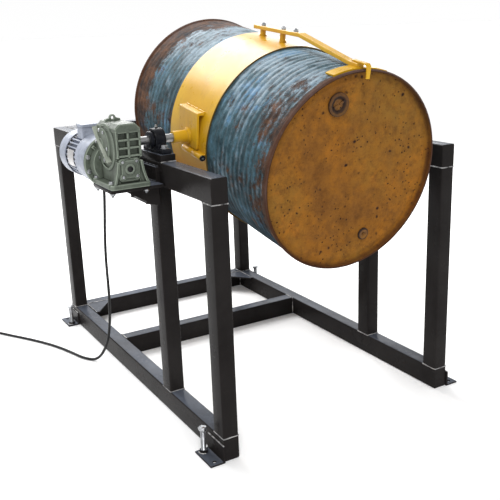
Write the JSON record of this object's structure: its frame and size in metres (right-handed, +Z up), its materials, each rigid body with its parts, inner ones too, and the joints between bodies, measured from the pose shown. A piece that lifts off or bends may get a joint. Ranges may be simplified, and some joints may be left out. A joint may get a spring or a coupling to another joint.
{
  "type": "drum tumbler",
  "caption": "Powered end-over-end drum tumbler: a steel drum clamped in a pivoting band between two side frames, turned by a worm gearmotor on an outboard bracket.",
  "frame": {"origin": "on the floor, under the middle of the object's box without its cord", "axes": "+X runs along the tumbling shaft from the drive side to the idle side, +Y from the drum's low front end to the back of the base, +Z is up"},
  "size_m": [1.4034, 1.578, 1.2294],
  "materials": {
    "frame_black": "semi-gloss black paint",
    "band_yellow": "gloss yellow paint",
    "bright_steel": "bright turned or zinc-plated steel",
    "gearbox_green": "grey-green cast housing paint",
    "motor_grey": "light grey paint on castings and pressings",
    "bearing_black": "painted cast iron",
    "drum_blue": "faded blue paint with rust",
    "drum_rust": "rusted and scaled steel",
    "plug_cream": "moulded",
    "bronze": "machined gear bronze",
    "lamination": "laminated steel",
    "black_plastic": "moulded",
    "cord_rubber": "rubber sheath"
  },
  "bodies": {
    "frame": {"base_middle_beam": "frame_black", "base_rear_beam": "frame_black", "cable_gland": "black_plastic", "fan_cover": "motor_grey", "gearbox_bracket": "frame_black", "gearbox_housing": "gearbox_green", "gearbox_shaft_cover": "gearbox_green", "gearbox_wheel_cover": "gearbox_green", "left_bearing_housing": "bearing_black", "left_bottom_rail": "frame_black", "left_front_foot_plate": "frame_black", "left_front_level_bolt": "bright_steel", "left_front_upright": "frame_black", "left_middle_upright": "frame_black", "left_rear_foot_plate": "frame_black", "left_rear_level_bolt": "bright_steel", "left_rear_upright": "frame_black", "left_top_rail": "frame_black", "motor_body": "motor_grey", "motor_end_bell": "motor_grey", "motor_flange": "gearbox_green", "motor_stator": "lamination", "oil_plug": "plug_cream", "power_cord": "cord_rubber", "power_cord_coil": "cord_rubber", "power_plug": "black_plastic", "right_bearing_housing": "bearing_black", "right_bottom_rail": "frame_black", "right_front_foot_plate": "frame_black", "right_front_level_bolt": "bright_steel", "right_front_upright": "frame_black", "right_middle_upright": "frame_black", "right_rear_foot_plate": "frame_black", "right_rear_level_bolt": "bright_steel", "right_rear_upright": "frame_black", "right_top_rail": "frame_black", "terminal_box": "motor_grey", "terminal_box_lid": "motor_grey", "top_rear_beam": "frame_black", "worm_end_cover": "gearbox_green"},
    "cradle": {"worm_wheel": "bronze", "drive_shaft": "bright_steel", "idler_shaft": "bright_steel", "left_bearing_insert": "bright_steel", "right_bearing_insert": "bright_steel", "left_trunnion": "band_yellow", "right_trunnion": "band_yellow", "upper_band": "band_yellow", "hold_down_bar": "band_yellow", "hinge_pin": "bright_steel", "drum_shell": "drum_blue", "drum_front_head": "drum_rust", "drum_rear_head": "drum_rust", "drum_large_bung": "drum_rust", "drum_small_bung": "drum_rust"},
    "worm": {"worm_shaft": "bright_steel", "motor_rotor": "lamination", "cooling_fan": "black_plastic"},
    "lower_clamp": {"lower_band": "band_yellow"},
    "hook": {"chime_hook": "band_yellow"}
  },
  "joints": [
    {"name": "tumble", "type": "hinge", "parent": "frame", "child": "cradle", "pos_m": [0.06925, -0.25046, 0.888], "axis": [1, 0, 0], "continuous": true},
    {"name": "worm_spin", "type": "hinge", "parent": "frame", "child": "worm", "pos_m": [-0.46725, -0.25046, 0.828], "axis": [0, 1, 0], "continuous": true},
    {"name": "clamp_hinge", "type": "hinge", "parent": "cradle", "child": "lower_clamp", "pos_m": [-0.23525, -0.24378, 0.84806], "axis": [0, 0.9863, 0.165], "range_deg": [0, 40]},
    {"name": "hook_slide", "type": "slide", "parent": "cradle", "child": "hook", "axis": [0, -0.9863, -0.165], "range_m": [0, 0.012]}
  ],
  "couplings": [
    {"joint": "worm_spin", "follows": "tumble", "ratio": -40}
  ]
}
